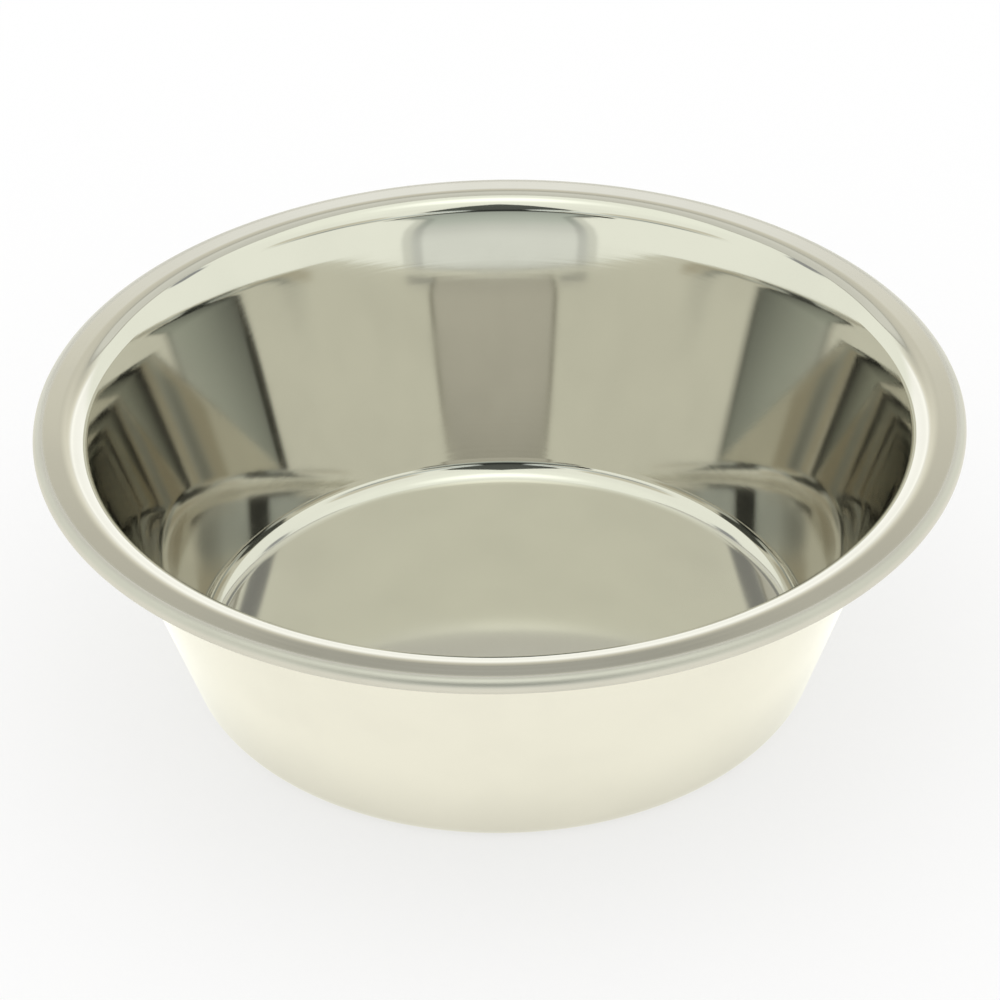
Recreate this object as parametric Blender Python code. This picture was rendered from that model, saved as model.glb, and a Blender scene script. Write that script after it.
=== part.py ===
"""Feeding bowl, pressed and polished from one disc of stainless steel sheet.

The bowl is one piece of sheet with one thickness all over. Its floor is flat and its wall is a
straight cone that flares a little near the top. The lip bends over into a low crown and a
narrow sloping ledge, and the cut edge is rolled under the ledge so that no raw edge can be
touched.

Metres, +Z up. The origin is the centre of the underside, which stands on the table.
"""

from math import ceil, cos, radians, sin, tan

import bmesh
import bpy
from mathutils import Vector

# Overall sizes of the finished bowl
RIM_DIAMETER = 0.2100
HEIGHT = 0.0680

# The sheet, and how far the wall leans out from the vertical, in degrees
SHEET = 0.0006
WALL_LEAN = 17.7

# The bend between floor and wall, inside the bowl
CORNER_RADIUS = 0.0060

# The gentle flare at the top of the wall, and the wall's lean where it ends, in degrees
FLARE_RADIUS = 0.0460
FLARE_LEAN = 26.0

# The lip: the tool radius under its bend, the low crown on top, and the slope between the two
LIP_UNDER_RADIUS = 0.0049
CROWN_RADIUS = 0.0200
CROWN_SLOPE = 6.0

# The ledge between the crown and the rolled edge, and its fall outwards, in degrees
LEDGE_WIDTH = 0.0036
LEDGE_FALL = 1.5

# The rolled edge: the radius of the hollow in the roll, and how far round it goes, in degrees
ROLL_BORE_RADIUS = 0.00125
ROLL_SWEEP = 220.0

# Facets: how many round the bowl, and the most that one turns along each bend, in degrees
ROUND_FACETS = 80
CORNER_FACET = 13.0
FLARE_FACET = 4.5
LIP_FACET = 12.0
ROLL_FACET = 23.0


def heading(angle):
    """The direction at an angle in degrees in the half section, from outwards round to up."""
    return Vector((cos(radians(angle)), 0, sin(radians(angle))))


def touching(centre, radius, angle, new_radius):
    """The centre of an arc of the new radius that carries on smoothly from the arc round the
    centre, from the point at that angle."""
    return centre + (radius - new_radius) * heading(angle)


def bend(centre, radius, stops, facet, side):
    """Points along an arc of the food side, through each of the stops, which are angles in
    degrees. Each point comes with the direction that faces away from the metal: side is 1
    where the food side is on the outside of the bend, and -1 where it is on the inside."""
    angles = [stops[0]]
    for start, end in zip(stops, stops[1:]):
        steps = ceil(abs(end - start) / facet)
        angles += [start + (end - start) * step / steps for step in range(1, steps + 1)]
    return [(centre + radius * heading(angle), side * heading(angle)) for angle in angles]


def food_side():
    """The half section of the sheet's upper surface, from the middle of the floor to the end
    of the rolled edge, as points and the directions that face away from the metal."""
    lip_radius = LIP_UNDER_RADIUS + SHEET
    roll_radius = ROLL_BORE_RADIUS + SHEET

    # The angles where one surface goes over into the next
    ledge_up = 90 - LEDGE_FALL
    crown_start = 90 + CROWN_SLOPE
    lip_start = 180 - FLARE_LEAN
    flare_start = 180 - WALL_LEAN

    # The rim's radius places the roll, the ledge reaches in from it to the crown, and the lip
    # and the flare carry on from there
    level, down = cos(radians(LEDGE_FALL)), sin(radians(LEDGE_FALL))
    crown_x = RIM_DIAMETER / 2 - roll_radius - LEDGE_WIDTH * level
    crown_x -= (CROWN_RADIUS - roll_radius) * down
    crown_centre = Vector((crown_x, 0, HEIGHT - CROWN_RADIUS))
    ledge_end = crown_centre + CROWN_RADIUS * heading(ledge_up)
    ledge_end += LEDGE_WIDTH * Vector((level, 0, -down))
    roll_centre = ledge_end - roll_radius * heading(ledge_up)
    lip_centre = touching(crown_centre, CROWN_RADIUS, crown_start, lip_radius)
    flare_centre = touching(lip_centre, lip_radius, lip_start, FLARE_RADIUS)

    # The wall is the straight line that touches the flare and the corner bend
    lean = radians(WALL_LEAN)
    wall_top = flare_centre + FLARE_RADIUS * heading(flare_start)
    wall_foot_z = SHEET + CORNER_RADIUS * (1 - sin(lean))
    wall_foot_x = wall_top.x - (wall_top.z - wall_foot_z) * tan(lean)
    corner_centre = Vector((wall_foot_x - CORNER_RADIUS * cos(lean), 0, SHEET + CORNER_RADIUS))

    # The crown passes its highest point at 90 degrees, and the roll its widest at 0
    middle = [(Vector((0, 0, SHEET)), Vector((0, 0, 1)))]
    corner = bend(corner_centre, CORNER_RADIUS, (-90, -WALL_LEAN), CORNER_FACET, -1)
    flare = bend(flare_centre, FLARE_RADIUS, (flare_start, lip_start), FLARE_FACET, 1)
    lip = bend(lip_centre, lip_radius, (lip_start, crown_start), LIP_FACET, 1)
    crown = bend(crown_centre, CROWN_RADIUS, (crown_start, 90, ledge_up), LIP_FACET, 1)
    turns = (ledge_up, 0, ledge_up - ROLL_SWEEP)
    roll = bend(roll_centre, roll_radius, turns, ROLL_FACET, 1)
    return middle + corner + flare + lip[1:] + crown[1:] + roll


def half_section():
    """The outline of the sheet on one side of the axis: out along the food side, round the cut
    edge, and back to the axis along the underside, one sheet thickness away."""
    food = food_side()
    under = [point - SHEET * out for point, out in food]
    return [point for point, out in food] + under[::-1]


def turned(name, outline, facets):
    """A solid turned round the Z axis from an outline that starts and ends on the axis."""
    mesh = bpy.data.meshes.new(name)
    bm = bmesh.new()
    chain = [bm.verts.new(point) for point in outline]
    for pair in zip(chain, chain[1:]):
        bm.edges.new(pair)
    bmesh.ops.spin(bm, geom=bm.verts[:] + bm.edges[:], cent=(0, 0, 0), axis=(0, 0, 1),
                   angle=radians(360), steps=facets, use_merge=True)
    bmesh.ops.remove_doubles(bm, verts=bm.verts, dist=SHEET / 100)
    bmesh.ops.recalc_face_normals(bm, faces=bm.faces)
    bm.to_mesh(mesh)
    bm.free()
    mesh.shade_smooth()
    mesh.set_sharp_from_angle(angle=radians(50))
    obj = bpy.data.objects.new(name, mesh)
    bpy.context.scene.collection.objects.link(obj)
    return obj


def polished_steel():
    """Mirror-polished stainless steel, slightly warm."""
    material = bpy.data.materials.new("polished_stainless_steel")
    material.use_nodes = True
    surface = material.node_tree.nodes["Principled BSDF"]
    surface.inputs["Base Color"].default_value = (0.64, 0.62, 0.56, 1)
    surface.inputs["Metallic"].default_value = 1.0
    surface.inputs["Roughness"].default_value = 0.05
    return material


def main():
    for obj in list(bpy.data.objects):
        bpy.data.objects.remove(obj, do_unlink=True)
    bowl = turned("bowl", half_section(), ROUND_FACETS)
    bowl.data.materials.append(polished_steel())


main()
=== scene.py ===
"""Steel feeding bowl in a white light tent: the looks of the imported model.

Metres, +Z up. The origin is the centre of the bowl's underside, and the photograph looks
along +Y.
"""

import bpy
import numpy as np
from mathutils import Matrix, Vector


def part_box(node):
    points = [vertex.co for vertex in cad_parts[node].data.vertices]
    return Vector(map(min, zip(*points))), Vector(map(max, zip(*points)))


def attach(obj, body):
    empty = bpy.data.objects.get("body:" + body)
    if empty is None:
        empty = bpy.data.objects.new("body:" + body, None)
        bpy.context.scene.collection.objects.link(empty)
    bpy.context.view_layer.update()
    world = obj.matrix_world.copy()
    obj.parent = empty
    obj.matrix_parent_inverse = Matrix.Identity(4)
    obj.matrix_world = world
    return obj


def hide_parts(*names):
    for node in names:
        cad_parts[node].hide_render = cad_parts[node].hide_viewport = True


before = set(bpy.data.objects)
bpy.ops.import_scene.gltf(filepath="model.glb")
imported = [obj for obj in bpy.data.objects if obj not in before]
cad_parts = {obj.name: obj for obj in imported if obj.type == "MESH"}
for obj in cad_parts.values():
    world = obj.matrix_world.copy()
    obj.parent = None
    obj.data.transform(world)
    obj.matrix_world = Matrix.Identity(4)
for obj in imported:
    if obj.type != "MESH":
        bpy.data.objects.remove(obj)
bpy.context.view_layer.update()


# The bowl: one disc of stainless steel sheet, deep-drawn over a tool, its edge turned down and
# rolled, then polished to a mirror on a turning mandrel. It stands loose on the table.

low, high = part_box("bowl")
RIM_RADIUS = (high[0] - low[0]) / 2
HEIGHT = high[2]
SHEET = 0.0006
WALL_LEAN = 17.7
CORNER_RADIUS = 0.0060
FLARE_RADIUS = 0.0460
FLARE_LEAN = 26.0
LIP_RADIUS = 0.0055
CROWN_RADIUS = 0.0200
CROWN_SLOPE = 6.0
LEDGE_WIDTH = 0.0039
LEDGE_FALL = 0.0
ROLL_RADIUS = 0.00185
ROLL_SWEEP = 220.0

# Facets: how many round the bowl, how many steps along each straight run, and the degrees that
# each step of a bend turns, at most
FACETS_ROUND = 440
FLOOR_STEPS = 8
WALL_STEPS = 14
LEDGE_STEPS = 3
CORNER_TURN = 3.5
FLARE_TURN = 1.0
LIP_TURN = 3.0
CROWN_TURN = 1.0
ROLL_TURN = 8.0


def arc(centre, radius, start, end, most_turn):
    """A circular arc from one angle to the other, in degrees: centre + radius * (cos, sin), in
    equal turns of at most most_turn. The second array is the outward direction (cos, sin)."""
    steps = int(np.ceil(abs(end - start) / most_turn))
    angle = np.radians(np.linspace(start, end, steps + 1))
    outward = np.stack([np.cos(angle), np.sin(angle)], 1)
    return centre + radius * outward, outward


def straight(start, end, outward, steps):
    """A straight run from start to end: (1 - t) * start + t * end, with t in equal steps and
    its two ends left out, because the bends on either side have them."""
    t = np.linspace(0, 1, steps + 1)[1:-1, None]
    return (1 - t) * start + t * end, np.repeat([outward], steps - 1, 0)


def heading(angle):
    """The unit vector (cos, sin) of an angle in degrees."""
    return np.array([np.cos(np.radians(angle)), np.sin(np.radians(angle))])


def bowl_section():
    """The food side of the sheet as (radius, height) points from the middle of the floor to the
    end of the roll, with the directions that face away from the metal: floor, corner bend,
    straight wall, flare, lip bend, crown, ledge and roll, each tangent to the next."""
    ledge_up = 90 - LEDGE_FALL
    crown_start = 90 + CROWN_SLOPE
    lip_start = 180 - FLARE_LEAN
    flare_start = 180 - WALL_LEAN
    crown_x = RIM_RADIUS - ROLL_RADIUS - LEDGE_WIDTH * heading(ledge_up)[1]
    crown_x -= (CROWN_RADIUS - ROLL_RADIUS) * heading(ledge_up)[0]
    crown_centre = np.array([crown_x, HEIGHT - CROWN_RADIUS])
    ledge_start = crown_centre + CROWN_RADIUS * heading(ledge_up)
    ledge_end = ledge_start + LEDGE_WIDTH * heading(-LEDGE_FALL)
    roll_centre = ledge_end - ROLL_RADIUS * heading(ledge_up)
    lip_centre = crown_centre + (CROWN_RADIUS - LIP_RADIUS) * heading(crown_start)
    flare_centre = lip_centre + (LIP_RADIUS - FLARE_RADIUS) * heading(lip_start)

    lean = np.radians(WALL_LEAN)
    wall_top = flare_centre + FLARE_RADIUS * heading(flare_start)
    foot_height = SHEET + CORNER_RADIUS * (1 - np.sin(lean))
    foot_radius = wall_top[0] - (wall_top[1] - foot_height) * np.tan(lean)
    wall_foot = np.array([foot_radius, foot_height])
    corner_centre = np.array([foot_radius - CORNER_RADIUS * np.cos(lean), SHEET + CORNER_RADIUS])

    floor_edge = np.array([corner_centre[0], SHEET])
    middle = np.array([0.0, SHEET])
    up = np.array([0.0, 1.0])
    corner, corner_out = arc(corner_centre, CORNER_RADIUS, -90, -WALL_LEAN, CORNER_TURN)
    wall = straight(wall_foot, wall_top, heading(flare_start), WALL_STEPS)
    flare = arc(flare_centre, FLARE_RADIUS, flare_start, lip_start, FLARE_TURN)
    lip, lip_out = arc(lip_centre, LIP_RADIUS, lip_start, crown_start, LIP_TURN)
    crown, crown_out = arc(crown_centre, CROWN_RADIUS, crown_start, ledge_up, CROWN_TURN)
    ledge = straight(ledge_start, ledge_end, heading(ledge_up), LEDGE_STEPS)
    roll = arc(roll_centre, ROLL_RADIUS, ledge_up, ledge_up - ROLL_SWEEP, ROLL_TURN)
    runs = [(middle[None], up[None]), straight(middle, floor_edge, up, FLOOR_STEPS),
            (corner, -corner_out), wall, flare, (lip[1:], lip_out[1:]),
            (crown[1:], crown_out[1:]), ledge, roll]
    return np.concatenate([run[0] for run in runs]), np.concatenate([run[1] for run in runs])


def turned_sheet(name, food, outward):
    """A closed solid of one sheet thickness, turned round Z. The outline runs out along the food
    side and back along the underside, which is food - SHEET * outward, and each of its points
    (r, z) gives the ring (r cos a, r sin a, z). A point on the axis is one vertex, the middle
    of a fan. The vertices' directions are those of the outline, turned the same way."""
    under = food[::-1] - SHEET * outward[::-1]
    outline = np.concatenate([food, under])[1:-1]
    facing = np.concatenate([outward, -outward[::-1]])[1:-1]
    rings = len(outline)
    turn = np.arange(FACETS_ROUND) * 2 * np.pi / FACETS_ROUND
    round_x, round_y = np.cos(turn), np.sin(turn)
    grid = np.stack([outline[:, :1] * round_x, outline[:, :1] * round_y,
                     np.repeat(outline[:, 1:], FACETS_ROUND, 1)], 2)
    normals = np.stack([facing[:, :1] * round_x, facing[:, :1] * round_y,
                        np.repeat(facing[:, 1:], FACETS_ROUND, 1)], 2)
    poles = np.array([[0, 0, food[0, 1]], [0, 0, under[-1, 1]]])
    points = np.concatenate([grid.reshape(-1, 3), poles])
    facing = np.concatenate([normals.reshape(-1, 3), [[0, 0, 1], [0, 0, -1]]])

    here = np.arange(rings * FACETS_ROUND).reshape(rings, FACETS_ROUND)
    beside = np.roll(here, -1, 1)
    quads = np.stack([here[:-1], beside[:-1], beside[1:], here[1:]], 2).reshape(-1, 4)[:, ::-1]
    first_pole, last_pole = len(points) - 2, len(points) - 1
    top_fan = np.stack([np.full(FACETS_ROUND, first_pole), here[0], beside[0]], 1)
    low_fan = np.stack([np.full(FACETS_ROUND, last_pole), beside[-1], here[-1]], 1)
    mesh = bpy.data.meshes.new(name)
    mesh.from_pydata(points, [], quads.tolist() + top_fan.tolist() + low_fan.tolist())
    mesh.polygons.foreach_set("use_smooth", np.ones(len(mesh.polygons), bool))
    mesh.normals_split_custom_set_from_vertices(facing)
    piece = bpy.data.objects.new(name, mesh)
    bpy.context.scene.collection.objects.link(piece)
    return piece


food_side, outward_of_metal = bowl_section()
bowl = turned_sheet("polished_bowl", food_side, outward_of_metal)

# The steel's colour, which is a share of itself on the floor and from the crown outwards
STEEL_COLOUR = (0.64, 0.62, 0.56)
FLOOR_SHARE = 0.99
FLOOR_HEIGHTS = (0.0008, 0.0030)
RIM_SHARE = 0.84
RIM_RADII = (0.0975, 0.0990)

# Its roughness, and what the floor and the rolled edge add to it
MIRROR_ROUGHNESS = 0.045
FLOOR_ROUGHNESS = 0.03
ROLL_ROUGHNESS = 0.38
ROLL_RADII = (0.1022, 0.1034)

# The marks of the work: rings of the polishing mop, waves of the pressed sheet, and clouds
# where the polish is duller. Scales are repeats per metre, and depths are in metres.
RING_SCALE = 900.0
RING_DETAIL = 3.0
RING_DEPTH = 0.0000012
RING_ROUGHNESS = 0.02
WAVE_SCALE = 22.0
WAVE_DETAIL = 1.0
WAVE_DEPTH = 0.00002
CLOUD_SCALE = 45.0
CLOUD_DETAIL = 4.0
CLOUD_DARKENS = (0.35, 0.75)
CLOUD_SHARE = 0.97
CLOUD_ROUGHENS = (0.4, 0.8)
CLOUD_ROUGHNESS = 0.03


class Wiring:
    """The nodes of one material or world, joined up one call at a time. A value is a number or
    colour, which is set on the socket, or another node's output, which is linked to it."""

    def __init__(self, tree):
        self.tree = tree

    def feed(self, socket, value):
        """Link the value to the socket if it is an output, or else set it there."""
        if isinstance(value, bpy.types.NodeSocket):
            self.tree.links.new(value, socket)
        else:
            socket.default_value = value

    def node(self, kind, **settings):
        """A new node with its settings."""
        made = self.tree.nodes.new(kind)
        for name, value in settings.items():
            setattr(made, name, value)
        return made

    def math(self, operation, *values):
        """The Math node's operation on one to three values."""
        made = self.node("ShaderNodeMath", operation=operation)
        for socket, value in zip(made.inputs, values):
            self.feed(socket, value)
        return made.outputs[0]

    def step(self, value, low, high, from_low=0.0, from_high=1.0):
        """A smooth step: from_low up to low, from_high past high, and s * s * (3 - 2 s) between,
        where s is how far the value has come from low to high."""
        made = self.node("ShaderNodeMapRange", interpolation_type="SMOOTHSTEP")
        for socket, number in zip(made.inputs, (value, low, high, from_low, from_high)):
            self.feed(socket, number)
        return made.outputs[0]

    def blend(self, share, first, second, how="MIX"):
        """Two colours blended: first where the share is 0, second where it is 1."""
        made = self.node("ShaderNodeMix", data_type="RGBA", blend_type=how)
        self.feed(made.inputs["Factor"], share)
        self.feed(made.inputs["A"], first)
        self.feed(made.inputs["B"], second)
        return made.outputs["Result"]


def mirror_steel():
    """Stainless steel polished to a mirror, slightly warm. Its parts, all from the place on the
    bowl: rings left by the polishing mop, which follow radius + height, soft waves of the
    pressed sheet, faint clouds where the polish is duller, a floor and a ledge a little darker,
    and a rolled edge that the mop reaches less."""
    material = bpy.data.materials.new("mirror_steel")
    material.use_nodes = True
    wiring = Wiring(material.node_tree)
    surface = material.node_tree.nodes["Principled BSDF"]
    surface.inputs["Metallic"].default_value = 1.0

    place = wiring.node("ShaderNodeTexCoord").outputs["Object"]
    split = wiring.node("ShaderNodeSeparateXYZ")
    wiring.feed(split.inputs[0], place)
    across, along, height = split.outputs
    radius = wiring.math("SQRT", wiring.math("ADD", wiring.math("MULTIPLY", across, across),
                                             wiring.math("MULTIPLY", along, along)))
    wall_share = wiring.step(height, *FLOOR_HEIGHTS)

    def noise(dimensions, scale, detail, value):
        """Noise from 0 to 1 that follows the value, a length in 1D or a place in 3D."""
        made = wiring.node("ShaderNodeTexNoise", noise_dimensions=dimensions)
        made.inputs["Scale"].default_value = scale
        made.inputs["Detail"].default_value = detail
        wiring.feed(made.inputs["W" if dimensions == "1D" else "Vector"], value)
        return made.outputs[0]

    rings = noise("1D", RING_SCALE, RING_DETAIL, wiring.math("ADD", radius, height))
    waves = noise("3D", WAVE_SCALE, WAVE_DETAIL, place)
    clouds = noise("3D", CLOUD_SCALE, CLOUD_DETAIL, place)

    floor_colour = tuple(FLOOR_SHARE * channel for channel in STEEL_COLOUR)
    by_place = wiring.blend(wall_share, floor_colour + (1,), STEEL_COLOUR + (1,))
    share = wiring.math("MULTIPLY", wiring.step(clouds, *CLOUD_DARKENS, 1.0, CLOUD_SHARE),
                        wiring.step(radius, *RIM_RADII, 1.0, RIM_SHARE))
    wiring.feed(surface.inputs["Base Color"], wiring.blend(1.0, by_place, share, "MULTIPLY"))

    rough = wiring.math("MULTIPLY_ADD", wiring.math("SUBTRACT", 1.0, wall_share),
                        FLOOR_ROUGHNESS, MIRROR_ROUGHNESS)
    rough = wiring.math("ADD", rough, wiring.step(radius, *ROLL_RADII, 0.0, ROLL_ROUGHNESS))
    rough = wiring.math("MULTIPLY_ADD", rings, RING_ROUGHNESS, rough)
    rough = wiring.math("ADD", rough, wiring.step(clouds, *CLOUD_ROUGHENS, 0.0, CLOUD_ROUGHNESS))
    wiring.feed(surface.inputs["Roughness"], rough)

    ringed = wiring.node("ShaderNodeBump")
    ringed.inputs["Distance"].default_value = RING_DEPTH
    wiring.feed(ringed.inputs["Height"], rings)
    wavy = wiring.node("ShaderNodeBump")
    wavy.inputs["Distance"].default_value = WAVE_DEPTH
    wiring.feed(wavy.inputs["Height"], waves)
    wiring.feed(wavy.inputs["Normal"], ringed.outputs[0])
    wiring.feed(surface.inputs["Normal"], wavy.outputs[0])
    return material


bowl.data.materials.append(mirror_steel())
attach(bowl, "root")
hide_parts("bowl")


# The table: a plain pale matt board, one flat sheet that reaches out of the picture on all
# sides. The bowl stands loose on it and casts a soft shadow.

TABLE_REACH = 3.0
TABLE_GREY = 0.40
TABLE_GLOW_IN_STEEL = (1.01, 1.01, 0.91, 1)
# Where the glow that the steel mirrors falls to a share of itself under the bowl: a painted
# shadow
SHADE_RADII = (0.064, 0.088)
SHADE_SHARE = 0.64


def pale_table():
    """A pale matt board that looks white wherever the bowl doesn't shade it: to its own grey it
    adds a glow of 1 - the grey for the camera, and a brighter one for what the steel mirrors,
    which falls to a share of itself under the bowl as a painted shadow of the bowl."""
    material = bpy.data.materials.new("pale_table")
    material.use_nodes = True
    material.node_tree.nodes.clear()
    wiring = Wiring(material.node_tree)
    matt = wiring.node("ShaderNodeBsdfDiffuse")
    matt.inputs["Color"].default_value = (TABLE_GREY, TABLE_GREY, TABLE_GREY, 1)
    path = wiring.node("ShaderNodeLightPath")
    mirrored = wiring.math("MAXIMUM", path.outputs["Is Glossy Ray"],
                           path.outputs["Is Transmission Ray"])
    lift = 1 - TABLE_GREY
    centred = wiring.node("ShaderNodeVectorMath", operation="LENGTH")
    wiring.feed(centred.inputs[0], wiring.node("ShaderNodeTexCoord").outputs["Object"])
    # The glow that the steel mirrors falls off under the bowl: a painted shadow of the bowl on
    # the table
    shaded = wiring.step(centred.outputs["Value"], *SHADE_RADII, SHADE_SHARE, 1.0)
    in_steel = wiring.blend(1.0, TABLE_GLOW_IN_STEEL, shaded, "MULTIPLY")
    glow = wiring.node("ShaderNodeEmission")
    wiring.feed(glow.inputs["Color"], wiring.blend(mirrored, (lift, lift, lift, 1), in_steel))
    wiring.feed(glow.inputs["Strength"],
                wiring.math("MAXIMUM", mirrored, path.outputs["Is Camera Ray"]))
    both = wiring.node("ShaderNodeAddShader")
    wiring.feed(both.inputs[0], matt.outputs[0])
    wiring.feed(both.inputs[1], glow.outputs[0])
    wiring.feed(wiring.node("ShaderNodeOutputMaterial").inputs["Surface"], both.outputs[0])
    return material


corners = np.array([[-1, -1, 0], [1, -1, 0], [1, 1, 0], [-1, 1, 0]]) * TABLE_REACH
table_mesh = bpy.data.meshes.new("table")
table_mesh.from_pydata(corners, [], [[0, 1, 2, 3]])
table = bpy.data.objects.new("table", table_mesh)
bpy.context.scene.collection.objects.link(table)
table.data.materials.append(pale_table())


# The light tent: white cloth all round and above the table, with a softbox over the bowl, an
# opening in front for the camera, and cards hung behind and at the sides. The bowl's mirror
# shows all of it. Matt surfaces are lit by plain white, which the camera sees behind the bowl.

# The cloth. Here and below, turns and heights are directions in degrees, a pair of heights is
# where one thing starts to go over into the next and where it has, and 1 is white.
TENT_CLOTH = (1.19, 1.24, 1.14, 1)
TENT_ROOF = (1.25, 1.31, 1.20, 1)
ROOF_HEIGHTS = (56, 68)
SOFTBOX = (1.82, 1.92, 1.80, 1)
SOFTBOX_HEIGHTS = (72, 88)

# The opening: half its width by height, less than nothing where it is shut, and its greys by
# height, from the pale floor in front up to the dark room
OPENING_TURN = -1.0
OPENING_WIDTHS = ((0, 24.8), (9, 24.6), (14, 23.8), (17, 22.3), (20, 20.5), (22.5, 29.5),
                  (27, 30.5), (29, 21), (31.5, 9), (37, 8), (40, 22), (44, 23), (50, 18),
                  (56, 12), (62, 3), (66, -5))
OPENING_WIDTH_LIMITS = (-10, 40)
OPENING_SOFTNESS = 1.2
OPENING_GREYS = ((3, 1.02), (9, 0.95), (14, 0.82), (18, 0.66), (20, 0.60), (22, 0.52),
                 (24, 0.42), (26, 0.30), (27.5, 0.10), (28.5, 0.03), (33, 0.05), (38, 0.11),
                 (64, 0.13))
OPENING_LOW_TINT = (1.0, 1.05, 1.0, 1)
OPENING_HIGH_TINT = (1.0, 1.11, 1.02, 1)
OPENING_TINT_HEIGHTS = (12, 20)

# The black binding on the opening's edge: how far from the edge it is gone and how near it is
# full, the heights between which it is strong, weaker on the right, and where it is faint
BINDING_REACH = (3.6, 2.0)
BINDING_COLOUR = (0.04, 0.04, 0.03, 1)
BINDING_STARTS = (19, 22)
BINDING_ENDS = (30, 32)
BINDING_MIDDLE = (-5, 5)
BINDING_RIGHT_SHARE = 0.35
BINDING_FAINT = 0.25
BINDING_FAINT_ENDS = (40, 50)

# The cloth behind the bowl, brighter towards the table, and the framed grey card that hangs
# in front of it
BACK_CLOTH = dict(turn=180, half_turn=36, height=14, half_height=24, corner=3, edge=0.3)
BACK_GREYS = ((0, 1.42), (22, 1.38), (25, 1.42), (28, 1.52), (30, 1.24), (33, 0.95), (35, 0.80),
              (36, 0.70), (36.4, 0.66), (36.7, 0.50), (40, 0.50))
BACK_LOW_TINT = (1.0, 1.02, 1.0, 1)
BACK_HIGH_TINT = (1.0, 0.99, 0.87, 1)
BACK_TINT_HEIGHTS = (29, 32)
FRAME = dict(turn=182.3, half_turn=37.3, height=49.2, half_height=12.8, corner=10, edge=0.03)
FRAME_COLOUR = (0.50, 0.50, 0.44, 1)
CARD = dict(turn=182.3, half_turn=34.8, height=49.0, half_height=12.2, corner=10, edge=0.04)
CARD_GREYS = ((36.7, 0.60), (37, 0.66), (37.5, 0.76), (38.2, 0.90), (39, 0.93), (45, 0.88),
              (55, 0.83), (62, 0.80))
CARD_TINT = (1.0, 1.02, 0.95, 1)
BRIGHTEST_GREY = 2

# What hangs the same on the right and on the left: a small grey card towards the back, a warm
# card and a warm strip towards the front, and a bluish strip with a darker end
GREY_CARD = dict(turn=134, half_turn=8.5, height=51.6, half_height=2.5, corner=4, edge=0.5)
GREY_CARD_COLOUR = (0.40, 0.42, 0.43, 1)
WARM_CARD = dict(turn=53, half_turn=20, height=41.5, half_height=5, corner=3, edge=0.4)
WARM_STRIP = dict(turn=30, half_turn=12, height=31.5, half_height=1.8, corner=4, edge=0.4)
WARM_COLOUR = (0.84, 0.83, 0.70, 1)
BLUE_STRIP = dict(turn=30, half_turn=27, height=34.8, half_height=2.4, corner=4, edge=0.5)
BLUE_STRIP_COLOUR = (0.70, 0.79, 0.79, 1)
BLUE_END = dict(turn=52, half_turn=14, height=34.4, half_height=2.0, corner=2, edge=1.4)
BLUE_END_COLOUR = (0.44, 0.48, 0.46, 1)


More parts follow.
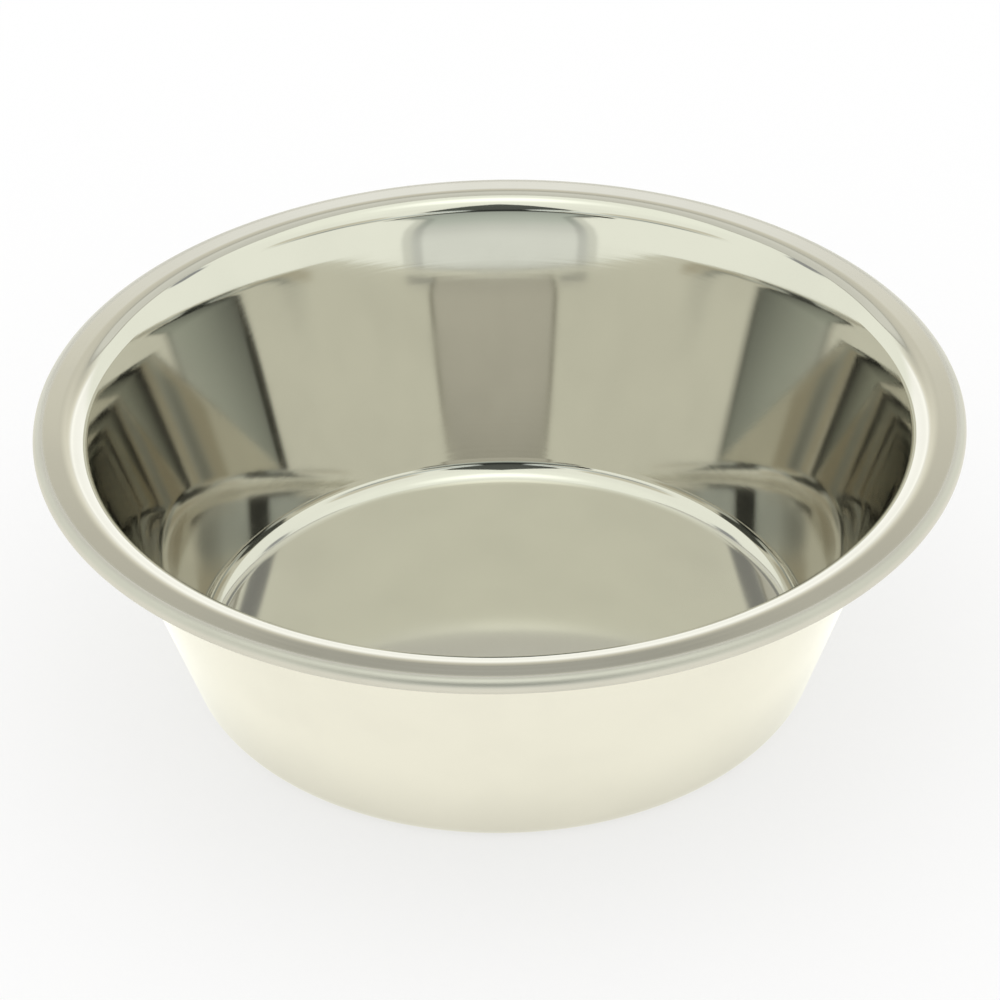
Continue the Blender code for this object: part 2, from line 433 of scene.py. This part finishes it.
def light_tent():
    """The tent's brightness by direction. The turn is atan2(x, -y) in degrees, 0 at the camera,
    and the height is asin(z) in degrees. A card covers where (|u| ^ c + |v| ^ c) ^ (1 / c) is
    under 1: u and v are the distances from its middle over its half sizes, c its corner."""
    world = bpy.data.worlds.new("light_tent")
    world.use_nodes = True
    world.node_tree.nodes.clear()
    wiring = Wiring(world.node_tree)
    split = wiring.node("ShaderNodeSeparateXYZ")
    wiring.feed(split.inputs[0], wiring.node("ShaderNodeTexCoord").outputs["Generated"])
    across, along, up = split.outputs
    front = wiring.math("MULTIPLY", along, -1.0)
    turn_two_ways = wiring.math("DEGREES", wiring.math("ARCTAN2", across, front))
    away_from_back = wiring.math("DEGREES", wiring.math("ARCTAN2", across, along))
    turn_right_round = wiring.math("SUBTRACT", 180.0, away_from_back)
    height_here = wiring.math("DEGREES", wiring.math("ARCSINE", up))

    def covered(turn, half_turn, height, half_height, corner, edge):
        """1 on a card and 0 off it, with an edge as wide as that share of its half sizes. The
        turn runs from -180 to 180, or from 0 to 360 for a card that hangs across the back."""
        turn_here = turn_right_round if abs(turn) + half_turn > 180 else turn_two_ways
        u = wiring.math("DIVIDE", wiring.math("SUBTRACT", turn_here, turn), half_turn)
        v = wiring.math("DIVIDE", wiring.math("SUBTRACT", height_here, height), half_height)
        powers = [wiring.math("POWER", wiring.math("ABSOLUTE", value), corner)
                  for value in (u, v)]
        distance = wiring.math("POWER", wiring.math("ADD", *powers), 1 / corner)
        return wiring.step(distance, 1 - edge / 2, 1 + edge / 2, 1.0, 0.0)

    def by_height(stops, least, most):
        """A value that goes through the stops in straight runs as the height rises, as a share
        of the way from least to most."""
        ramp = wiring.node("ShaderNodeValToRGB")
        wiring.feed(ramp.inputs[0], wiring.math("DIVIDE", height_here, 90.0))
        elements = ramp.color_ramp.elements
        while len(elements) < len(stops):
            elements.new(0.5)
        for element, (height, value) in zip(elements, stops):
            element.position = height / 90
            share = (value - least) / (most - least)
            element.color = (share, share, share, 1)
        return ramp.outputs[0]

    def greys_by_height(stops, tint):
        """The stops' greys, times the tint."""
        scale = wiring.blend(1.0, tint, (BRIGHTEST_GREY,) * 3 + (1,), "MULTIPLY")
        return wiring.blend(1.0, by_height(stops, 0, BRIGHTEST_GREY), scale, "MULTIPLY")

    def tint_by_height(heights, low_tint, high_tint):
        """One tint below the heights and the other above them."""
        return wiring.blend(wiring.step(height_here, *heights), low_tint, high_tint)

    seen = tint_by_height(ROOF_HEIGHTS, TENT_CLOTH, TENT_ROOF)
    seen = wiring.blend(wiring.step(height_here, *SOFTBOX_HEIGHTS), seen, SOFTBOX)

    tint = tint_by_height(BACK_TINT_HEIGHTS, BACK_LOW_TINT, BACK_HIGH_TINT)
    seen = wiring.blend(covered(**BACK_CLOTH), seen, greys_by_height(BACK_GREYS, tint))
    seen = wiring.blend(covered(**FRAME), seen, FRAME_COLOUR)
    seen = wiring.blend(covered(**CARD), seen, greys_by_height(CARD_GREYS, CARD_TINT))
    for card, colour in ((GREY_CARD, GREY_CARD_COLOUR), (WARM_CARD, WARM_COLOUR),
                         (WARM_STRIP, WARM_COLOUR), (BLUE_STRIP, BLUE_STRIP_COLOUR),
                         (BLUE_END, BLUE_END_COLOUR)):
        for side in (1, -1):
            hung = dict(card, turn=side * card["turn"])
            seen = wiring.blend(covered(**hung), seen, colour)

    least, most = OPENING_WIDTH_LIMITS
    half_width = wiring.math("MULTIPLY_ADD", by_height(OPENING_WIDTHS, least, most),
                             most - least, least)
    aside = wiring.math("SUBTRACT", turn_two_ways, OPENING_TURN)
    beyond = wiring.math("SUBTRACT", wiring.math("ABSOLUTE", aside), half_width)
    opened = wiring.step(beyond, -OPENING_SOFTNESS, OPENING_SOFTNESS, 1.0, 0.0)
    tint = tint_by_height(OPENING_TINT_HEIGHTS, OPENING_LOW_TINT, OPENING_HIGH_TINT)
    seen = wiring.blend(opened, seen, greys_by_height(OPENING_GREYS, tint))

    bound = wiring.step(wiring.math("ABSOLUTE", beyond), *BINDING_REACH)
    strong = wiring.math("MULTIPLY", wiring.step(height_here, *BINDING_STARTS),
                         wiring.step(height_here, *BINDING_ENDS, 1.0, 0.0))
    by_side = wiring.step(aside, *BINDING_MIDDLE, 1.0, BINDING_RIGHT_SHARE)
    strong = wiring.math("MULTIPLY", strong, by_side)
    faint = wiring.step(height_here, *BINDING_FAINT_ENDS, BINDING_FAINT, 0.0)
    strong = wiring.math("MAXIMUM", strong, faint)
    seen = wiring.blend(wiring.math("MULTIPLY", bound, strong), seen, BINDING_COLOUR)

    path = wiring.node("ShaderNodeLightPath")
    mirrored = wiring.math("MAXIMUM", path.outputs["Is Glossy Ray"],
                           path.outputs["Is Transmission Ray"])
    light = wiring.node("ShaderNodeBackground")
    wiring.feed(light.inputs["Color"], wiring.blend(mirrored, (1, 1, 1, 1), seen))
    wiring.feed(wiring.node("ShaderNodeOutputWorld").inputs["Surface"], light.outputs[0])
    return world


bpy.context.scene.world = light_tent()


# The camera: a long lens in front of the bowl and above it, turned a little about its own line
# of sight, as in the photograph. Its lens suits a frame 1000 pixels wide; its sensor is 36 mm
# wide.

CAMERA_ELEVATION = 34.126
CAMERA_DISTANCE = 0.805475
CAMERA_ROLL = 1.0325
CAMERA_TARGET = Vector((-0.000172, 0, 0.041341))
LENS_PIXELS = 3500
FRAME_PIXELS = 1000
SENSOR_WIDTH = 36
NEAREST_SEEN = 0.01
MIRROR_BOUNCES = 16

camera_data = bpy.data.cameras.new("camera")
camera_data.sensor_fit = "HORIZONTAL"
camera_data.sensor_width = SENSOR_WIDTH
camera_data.lens = SENSOR_WIDTH * LENS_PIXELS / FRAME_PIXELS
camera_data.clip_start = NEAREST_SEEN
camera = bpy.data.objects.new("camera", camera_data)
bpy.context.scene.collection.objects.link(camera)
level_view = Matrix.Rotation(np.radians(90 - CAMERA_ELEVATION), 4, "X")
turned_view = Matrix.Rotation(np.radians(-CAMERA_ROLL), 4, "Z")
away = Vector(level_view.col[2][:3])
camera.matrix_world = (Matrix.Translation(CAMERA_TARGET + CAMERA_DISTANCE * away)
                       @ level_view @ turned_view)
bpy.context.scene.camera = camera
bpy.context.scene.view_settings.view_transform = "Standard"

# The bowl's wall mirrors itself over and over, so light is followed through more bounces
bpy.context.scene.cycles.max_bounces = MIRROR_BOUNCES
bpy.context.scene.cycles.glossy_bounces = MIRROR_BOUNCES
